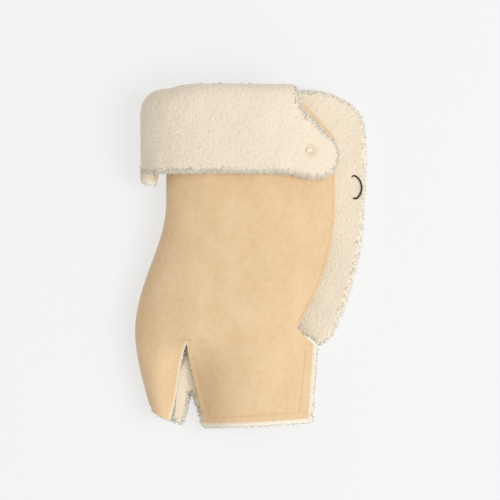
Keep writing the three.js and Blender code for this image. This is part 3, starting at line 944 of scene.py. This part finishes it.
def locks(roots, ways, seed, length=3.8 * MM, radius=0.5 * MM):
    """Curly tufts: tapered three-sided threads, each along its way and bent round an arc.

    A thread's middle goes along its way by the sine of its turn and sideways by one less the
    cosine, and its rings shrink to a point at both ends.
    """
    rng = np.random.default_rng(seed)
    count = len(roots)
    t = np.linspace(0, 1, tuft_rings)
    side = np.cross(ways, rng.normal(size=(count, 3)))
    side /= np.linalg.norm(side, axis=1, keepdims=True)
    other = np.cross(ways, side)
    turn = rng.uniform(2.0, 4.4, (count, 1)) * t
    reach = (length * rng.uniform(0.6, 1.3, (count, 1)) / turn[:, -1:])[..., None]
    middle_line = roots[:, None] + reach * (
        ways[:, None] * np.sin(turn)[..., None] + side[:, None] * (1 - np.cos(turn))[..., None]
    )
    width = radius * np.array([0.0, 1.0, 1.0, 0.9, 0.6, 0.0])
    angle = np.arange(tuft_sides + 1) % tuft_sides * 2 * np.pi / tuft_sides
    inward = side[:, None] * np.cos(turn)[..., None] - ways[:, None] * np.sin(turn)[..., None]
    ring = inward[:, :, None] * np.cos(angle)[:, None] + other[:, None, None] * np.sin(angle)[:, None]
    points = middle_line[:, :, None] + ring * width[None, :, None, None]
    one = grid_faces((tuft_rings, tuft_sides + 1))
    faces = (one[None] + tuft_points * np.arange(count)[:, None, None]).reshape(-1, 4)
    shade = np.broadcast_to((0.45 + 0.55 * t)[None, :, None], points.shape[:3])
    return points.reshape(-1, 3), faces, shade.ravel()


def wool_body(name, base, direction, depth, faces, sewn, material, seed, edge=5 * MM, nub=2.6 * MM):
    """A closed pad of wool on a sheet: full depth inside, rounded at its cut edges, in curls.

    Its outer points stand off the sheet by the depth times the rounded edge, and each is
    moved along the same way by packed curls of two sizes. Loose tufts stand near the
    cut edges.
    """
    rng = np.random.default_rng(seed)
    rim = np.unique(rim_of(faces))
    cut = rim[~sewn[rim]]
    near = distance_to(base, base[cut])
    shape = rounded(near, edge)
    crest = base + direction * (depth * shape)[:, None]
    nubs = curls(crest, nub, seed) * 0.7 + curls(crest, nub * 0.5, seed + 5) * 0.3
    drift = waves(crest, 13 * MM, seed + 9) * drift_height
    raised_by = (nubs - 0.7) * nub_height + drift * shape
    outer = crest + direction * raised_by[:, None]
    outer[:, 2] = np.maximum(outer[:, 2], 0)
    body, body_faces = between(outer, base, faces)
    if volume(body, body_faces) < 0:
        body_faces = body_faces[:, ::-1]
    outwards, area = normals_and_areas(body, body_faces)
    fringe_share = 1 - smooth(0, edge, near)
    wanted = area[:len(base)] * tufts_per_square_mm * fringe_share / MM ** 2
    chosen = np.flatnonzero(rng.random(len(base)) < wanted)
    ways = outwards[chosen] + rng.normal(scale=0.35, size=(len(chosen), 3))
    ways /= np.linalg.norm(ways, axis=1, keepdims=True)
    tufts, tuft_faces, shade = locks(outer[chosen] - outwards[chosen] * 0.4 * MM, ways, seed + 3)
    tufts[:, 2] = np.maximum(tufts[:, 2], 0)
    if volume(tufts, tuft_faces) < 0:
        tuft_faces = tuft_faces[:, ::-1]
    # The tip mark drives painted shade in the wool: low between the curls, 0.4 on the inner face and rising
    # from each tuft's root. The fringe mark drives painted light near the cut edges.
    marks = {
        "tip": np.concatenate([nubs, nubs * 0 + 0.4, shade]),
        "fringe": np.concatenate([fringe_share, fringe_share, np.repeat(fringe_share[chosen], tuft_points)]),
    }
    points = np.vstack([body, tufts])
    return add_mesh(name, points, np.vstack([body_faces, tuft_faces + len(body)]), material, marks)


def slit_puff(x, y):
    """Wool springs up where the slit lets it: a bell curve across, fading above the slit."""
    along = 1 - smooth(slit_top - 8 * MM, slit_top + 6 * MM, y)
    near_top = smooth(slit_top - 40 * MM, slit_top - 12 * MM, y)
    middle_x = slit_x - mix(11 * MM, 1 * MM, smooth(bottom, slit_top - 12 * MM, y))
    width = mix(13 * MM, 8 * MM, near_top)
    return 17 * MM * along * np.exp(-(((x - middle_x) / width) ** 2))


def panel_wool(name, panel, lattices, material, seed):
    """The wool inside a panel. In the front it stays clear of the wool under it."""
    base, thick = [], []
    for u, y in lattices:
        skin_side = offset(panel, u, y, np.full_like(u, -hide - gap))
        depth = pile_at(skin_side[..., 0], y)
        if panel is back:
            above = front.surface(share_of(front, skin_side[..., 0], y), y)[..., 2] - 6 * MM
            room = above - skin_side[..., 2] - depth
            depth = depth + np.clip(room, 0, slit_puff(skin_side[..., 0], y))
        tip = offset(panel, u, y, -hide - gap - depth)
        if panel is front:
            floor = back_level(tip[..., 0], y) + hide + 2 * gap + pile_at(tip[..., 0], y)
            tip[..., 2] = np.maximum(tip[..., 2], floor + 0.5 * MM)
        base.append(skin_side)
        thick.append(tip - skin_side)
    points, faces, kept = welded(base)
    to_tip = np.vstack([g.reshape(-1, 3) for g in thick])[kept]
    u_all = np.concatenate([u.ravel() for u, y in lattices])[kept]
    depth = np.linalg.norm(to_tip, axis=1)
    direction = to_tip / np.maximum(depth, 1e-6)[:, None]
    return wool_body(name, points, direction, depth, faces, u_all < 1e-6, material, seed)


def cuff_wool(name, panel, plain, depth, material, seed):
    """The wool outside a cuff's skin."""
    u, d = plain
    skin_side = cuff_path(panel, u, d, hide / 2 + gap)
    inside = mix(pile, depth, smooth(0, 6 * MM, d))
    tip = cuff_path(panel, u, d, hide / 2 + gap + inside)
    points, faces, kept = welded([skin_side])
    to_tip = (tip - skin_side).reshape(-1, 3)[kept]
    full = np.linalg.norm(to_tip, axis=1)
    if panel is front:
        to_tip[:, 0] *= 1 - 0.9 * smooth(0, tip_hinge_x, points[:, 0])
        to_tip *= (full / np.linalg.norm(to_tip, axis=1))[:, None]
    from_toggle = np.linalg.norm((points - toggle_middle)[:, :2], axis=1)
    full = full * (1 - 0.55 * np.exp(-((from_toggle / (5 * MM)) ** 2)))
    direction = to_tip / np.maximum(np.linalg.norm(to_tip, axis=1), 1e-6)[:, None]
    sewn = u.ravel()[kept] < 1e-6
    return wool_body(name, points, direction, full, faces, sewn, material, seed, edge=6 * MM, nub=2.9 * MM)


# ---- Sewing ----

def on_front(x, y, lift):
    """Points above the front panel's suede at places seen from above."""
    return offset(front, share_of(front, x, y), y, np.full_like(x, lift))


def hand_route():
    """The topstitch round the hand's lobe, parallel to its slit side, end and sewn side."""
    inset = 5.5 * MM
    left = finger_left + inset
    right = finger_right - inset
    end = bottom + fringe + inset
    return np.vstack([
        np.linspace((left, end + 2 * MM), (slit_x + 6 * MM, slit_top - 14 * MM), 40)[::-1],
        np.linspace((left + 2 * MM, end), (right - 2 * MM, end + end_slant), 60),
        np.linspace((right, end + end_slant + 2 * MM), (right + side_taper, seam_top - 4 * MM), 40),
    ])


def vent_route():
    """The topstitch along the vent, a fixed way inside its edge."""
    inset = 2.2 * MM
    y = np.linspace(vent_y + 5 * MM, neckline - 6 * MM, 140)
    return np.stack([x_at(vent_edge, y) - inset, y], -1)


def stitches(name, path, material, length=2.6 * MM, space=0.9 * MM, radius=0.28 * MM):
    """A row of single stitches along a path, each a short thread that rises between its ends."""
    step = np.linalg.norm(np.diff(path, axis=0), axis=1)
    along = np.concatenate([[0], np.cumsum(step)])
    starts = np.arange(0, along[-1] - length, length + space)
    t = np.linspace(0, 1, 6)
    width = radius * np.sin(np.pi * (0.15 + 0.7 * t))[:, None]
    threads = []
    for start in starts:
        stitch = np.stack([np.interp(start + t * length, along, path[:, k]) for k in range(3)], -1)
        stitch[:, 2] += (np.sin(np.pi * t) - 0.6) * radius
        threads.append(tube(stitch, width, 5))
    return add_mesh(name, *tube_row(threads), material)


def bar_tack(material):
    """Close upright stitches over the top of the thumb slit."""
    size = high("bar_tack") - low("bar_tack")
    t = np.linspace(0, 1, 6)
    y = middle("bar_tack")[1] + (t - 0.5) * size[1] * 1.3
    threads = []
    for x in np.arange(low("bar_tack")[0], high("bar_tack")[0], 0.55 * MM):
        path = on_front(np.full(6, x + 0.2 * MM), y, 0)
        path[:, 2] += (np.sin(np.pi * t) * 0.7 - 0.1) * MM
        threads.append(tube(path, 0.3 * MM, 5))
    return add_mesh("bar_tack_stitches", *tube_row(threads), material)


def seam_whips(material):
    """Slanted stitches over the left seam, from one panel's edge to the other's."""
    t = np.linspace(-1, 1, 8)
    threads = []
    for y in np.arange(low("left_seam_thread")[1], high("left_seam_thread")[1], 3.2 * MM):
        edge = seam_level(y) + t * 2.0 * MM
        along = y + t * 1.1 * MM
        out = 0.2 * MM + 0.35 * MM * (1 - t * t)
        path = np.stack([x_at(left_edge, along) - out + 0.05 * MM, along, edge], -1)
        threads.append(tube(path, 0.35 * MM, 5))
    return add_mesh("left_seam_stitches", *tube_row(threads), material)


# ---- Elastic loop ----

loop_upper = middle("loop_stitch_upper")
loop_lower = middle("loop_stitch_lower")
loop_level = middle("closure_loop")[2]
loop_size = high("closure_loop")[2] - low("closure_loop")[2]


def loop_path():
    """The elastic's line: out of one stitched end, round its bow, and into the other."""
    reach = outer_right - 4.2 * MM
    x1, y1 = loop_upper[:2]
    x2, y2 = loop_lower[:2]
    route = [
        (x1, y1), (x1 + 4.3 * MM, y1 + 2.2 * MM), (reach - 1.6 * MM, y1 - 2.8 * MM),
        (reach, y1 - 10.2 * MM), (reach - 1.8 * MM, y2 + 3.2 * MM), (x2 + 3.8 * MM, y2 - 0.3 * MM), (x2, y2),
    ]
    path = spline([(x, y, loop_level) for x, y in route], 120)
    t = np.linspace(0, 1, 120)
    path[:, 2] -= 1.6 * MM * (1 - smooth(0, 0.07, t) * (1 - smooth(0.93, 1, t)))
    return path


def braided_loop(material):
    """A round elastic whose radius swells where the strands of two crossing spirals lie."""
    path = loop_path()
    steps = np.linalg.norm(np.diff(path, axis=0), axis=1)
    along = np.concatenate([[0], np.cumsum(steps)])[:, None]
    around = np.linspace(0, 2 * np.pi, 16, endpoint=False)
    pitch = 2 * np.pi / (3.2 * MM)
    ridge = np.abs(np.sin(2 * around + along * pitch)) * np.abs(np.sin(2 * around - along * pitch))
    rings = tube(path, loop_size / 2 * (0.86 + 0.14 * ridge), 16)
    points, faces = closed_tube(rings)
    ends = np.zeros((1, 17))
    tip = np.concatenate([ends, np.concatenate([ridge, ridge[:, :1]], 1), ends]).ravel()
    loop = add_mesh("loop_braid", points, faces, material, {"tip": tip})
    return loop


def loop_knot(name, centre, material):
    """Thread wound round the elastic's sewn end: a short stack of turns."""
    turns = 3.5
    t = np.linspace(0, 1, 70)
    angle = 2 * np.pi * turns * t
    radius = loop_size / 2 * 0.95
    path = np.stack([
        centre[0] + radius * np.cos(angle),
        centre[1] + radius * np.sin(angle),
        loop_level - 2.2 * MM + 1.6 * MM * t,
    ], -1)
    points, faces = closed_tube(tube(path, 0.3 * MM, 6))
    return add_mesh(name, points, faces, material)


# ---- Toggle ----

stem = np.array(joints["toggle_turn"]["axis"], float)
bar_way = np.array([stem[2], 0, -stem[0]])
side_way = np.array([0.0, 1.0, 0.0])
toggle_width = high("toggle")[1] - low("toggle")[1]
toggle_length = (high("toggle")[0] - low("toggle")[0] - toggle_width) / bar_way[0] + toggle_width


def turned(profile, centre, axis, first, second, sides=28):
    """A surface of revolution: (distance along the axis, radius) pairs turned about it."""
    along, radius = np.array(profile).T
    angle = np.linspace(0, 2 * np.pi, sides, endpoint=False)[None]
    ring = first * np.cos(angle)[..., None] + second * np.sin(angle)[..., None]
    return centre + along[:, None, None] * axis + radius[:, None, None] * ring


def toggle_bar(material):
    """A horn bar with round ends and a waist for its thread."""
    t = np.linspace(-1, 1, 41)[1:-1]
    end = np.sqrt(1 - np.abs(t) ** 5)
    waist = 1 - 0.22 * np.exp(-((t / 0.16) ** 2))
    profile = np.stack([t * toggle_length / 2, toggle_width / 2 * end * waist], -1)
    points, faces = closed_tube(turned(profile, toggle_middle, bar_way, side_way, stem))
    return add_mesh("toggle_bar", points, faces, material)


def toggle_thread(material):
    """The toggle's thread: two strands twisted up its stem."""
    foot = middle("toggle_stay")
    rise = toggle_middle - foot
    t = np.linspace(0, 1, 40)
    threads = []
    for phase in (0, np.pi):
        angle = phase + t * 14
        path = foot + rise * t[:, None] * 0.86
        path = path + 0.28 * MM * (np.cos(angle)[:, None] * bar_way + np.sin(angle)[:, None] * side_way)
        threads.append(tube(path, 0.26 * MM, 6))
    return add_mesh("toggle_thread", *tube_row(threads), material)


def toggle_wrap(material):
    """Turns of thread that hold the bar at its waist."""
    t = np.linspace(0, 1, 60)
    angle = t * 4 * np.pi
    radius = toggle_width / 2 * 0.78 + 0.1 * MM
    path = toggle_middle + bar_way * ((t - 0.5) * 0.7 * MM)[:, None]
    path = path + radius * (np.cos(angle)[:, None] * side_way + np.sin(angle)[:, None] * stem)
    points, faces = closed_tube(tube(path, 0.13 * MM, 6))
    return add_mesh("toggle_wrap", points, faces, material)


def toggle_stay(material):
    """The button under the skin that holds the thread: a dished disc with a rounded rim."""
    centre = middle("toggle_stay")
    radius = (high("toggle_stay")[1] - low("toggle_stay")[1]) / 2
    half = 0.5 * MM
    profile = [
        (half * 0.5, radius * 0.3), (half * 0.8, radius * 0.7), (half, radius * 0.9), (half * 0.4, radius),
        (-half * 0.4, radius), (-half, radius * 0.9), (-half * 0.8, radius * 0.5),
    ]
    points, faces = closed_tube(turned(profile, centre, stem, side_way, bar_way))
    return add_mesh("toggle_stay_button", points, faces, material)


# ---- Light, floor and camera ----

sky_strength = 0.58
floor_grey = 0.27
floor_glow = 0.64
floor_half = 4.0
floor_level = -0.2 * MM
lens = 300  # long, so that the mitt is seen almost without perspective
view_margin = 1.448  # the view's width over the mitt's length


def set_stage():
    """White light from all round, and a wide glowing floor just under the mitt."""
    world = bpy.data.worlds.new("studio")
    world.use_nodes = True
    background = world.node_tree.nodes["Background"]
    background.inputs["Color"].default_value = (1, 1, 1, 1)
    background.inputs["Strength"].default_value = sky_strength
    bpy.context.scene.world = world
    paint = Paint("floor", Roughness=1.0, Specular_IOR_Level=0.0, Emission_Strength=floor_glow)
    paint.shader.inputs["Base Color"].default_value = (floor_grey, floor_grey, floor_grey, 1)
    paint.shader.inputs["Emission Color"].default_value = (1, 1, 1, 1)
    signs = [(-1, -1), (1, -1), (1, 1), (-1, 1)]
    corners = [(x * floor_half, y * floor_half, floor_level) for x, y in signs]
    mesh = bpy.data.meshes.new("floor")
    mesh.from_pydata(corners, [], [(0, 1, 2, 3)])
    mesh.materials.append(paint.material)
    floor = bpy.data.objects.new("floor", mesh)
    bpy.context.scene.collection.objects.link(floor)


def add_light(name, place, size, power):
    """A soft square light at a place, aimed at the middle of the mitt."""
    data = bpy.data.lights.new(name, "AREA")
    data.size = size
    data.energy = power
    lamp = bpy.data.objects.new(name, data)
    lamp.location = place
    lamp.rotation_euler = (-lamp.location).to_track_quat("-Z", "Y").to_euler()
    bpy.context.scene.collection.objects.link(lamp)


def add_camera():
    """Straight above the mitt, its fingers at the bottom of the view."""
    data = bpy.data.cameras.new("camera")
    data.lens = lens
    view_width = (top - bottom) * view_margin
    half_height = high("front_hide")[2] * 0.6
    camera = bpy.data.objects.new("camera", data)
    camera.location = (-1 * MM, 5.2 * MM, half_height + view_width * data.lens / data.sensor_width)
    bpy.context.scene.collection.objects.link(camera)
    bpy.context.scene.camera = camera
    bpy.context.scene.view_settings.view_transform = "Standard"


# ---- Assembly ----

suede = suede_paint()
wool = wool_paint()
thread = thread_paint()
elastic = elastic_paint()
horn = horn_paint()

add_camera()
set_stage()
add_light("key", (1.5, -0.2, 2.5), 1.8, 44.0)
add_light("fill", (0.5, -1.4, 1.5), 1.4, 2.5)


def rides(piece, slot, body, *nodes):
    """A piece that moves with one body, in place of the nodes it stands for."""
    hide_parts(*nodes)
    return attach(piece, body)


def bends(piece, slot, body, start_x, end_x, *nodes):
    """A piece with its transform baked in, in place of the nodes it stands for."""
    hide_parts(*nodes)
    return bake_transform(piece)


flare = 0.8 * MM  # a skin's inner face reaches this far past its outer one
flap_bend = 8 * MM  # half a width either side of the flap's hinge
tip_bend = 6 * MM  # the same for the cuff's tip
hand_line = hand_route()
vent_line = vent_route()

rides(
    skin(
        "front_suede", front, front_lattices(0), front_lattices(flare), suede, (hand_line, vent_line),
        spline(slit_sides(0)[0], 200),
    ),
    "suede", "mitt", "front_hide",
)
rides(
    panel_wool("front_wool", front, front_lattices(fringe), wool, 11),
    "fleece", "mitt", "front_fleece",
)
bends(
    skin("back_suede", back, back_lattices(0), back_lattices(flare), suede),
    "suede", "flap", flap_hinge_x - flap_bend, flap_hinge_x + flap_bend, "back_hide", "flap_hide",
)
bends(
    panel_wool("back_wool", back, back_lattices(fringe), wool, 23),
    "fleece", "flap", flap_hinge_x - flap_bend, flap_hinge_x + flap_bend, "back_fleece", "flap_fleece",
)
bends(
    cuff_skin("cuff_suede", front, front_cuff_lattice(0, 90, 60), front_cuff_lattice(flare, 90, 60), suede),
    "suede", "cuff_tip", tip_hinge_x - tip_bend, tip_hinge_x + tip_bend, "front_cuff_hide", "cuff_tip_hide",
)
bends(
    cuff_wool("cuff_wool", front, front_cuff_lattice(fringe, 230, 150), cuff_pile, wool, 37),
    "fleece", "cuff_tip", tip_hinge_x - tip_bend, tip_hinge_x + tip_bend,
    "front_cuff_fleece", "cuff_tip_fleece",
)
rides(
    cuff_skin("back_cuff_suede", back, back_cuff_lattice(0, 70, 50), back_cuff_lattice(flare, 70, 50), suede),
    "suede", "mitt", "back_cuff_hide",
)
rides(
    cuff_wool("back_cuff_wool", back, back_cuff_lattice(fringe, 160, 120), cuff_pile, wool, 41),
    "fleece", "mitt", "back_cuff_fleece",
)

hand_path = on_front(hand_line[:, 0], hand_line[:, 1], 0.1 * MM)
vent_path = on_front(vent_line[:, 0], vent_line[:, 1], 0.1 * MM)
rides(stitches("hand_stitches", hand_path, thread), "thread", "mitt", "hand_topstitch")
rides(stitches("vent_stitches", vent_path, thread), "thread", "mitt", "vent_topstitch")
rides(bar_tack(thread), "thread", "mitt", "bar_tack")
rides(seam_whips(thread), "thread", "mitt", "left_seam_thread")

rides(braided_loop(elastic), "elastic", "loop", "closure_loop")
rides(loop_knot("loop_knot_upper", loop_upper, thread), "thread", "flap", "loop_stitch_upper")
rides(loop_knot("loop_knot_lower", loop_lower, thread), "thread", "flap", "loop_stitch_lower")

rides(toggle_bar(horn), "toggle", "toggle", "toggle")
wrap = toggle_wrap(thread)
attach(wrap, "toggle")
rides(toggle_thread(thread), "thread", "cuff_tip", "toggle_shank")
rides(toggle_stay(horn), "toggle", "cuff_tip", "toggle_stay")
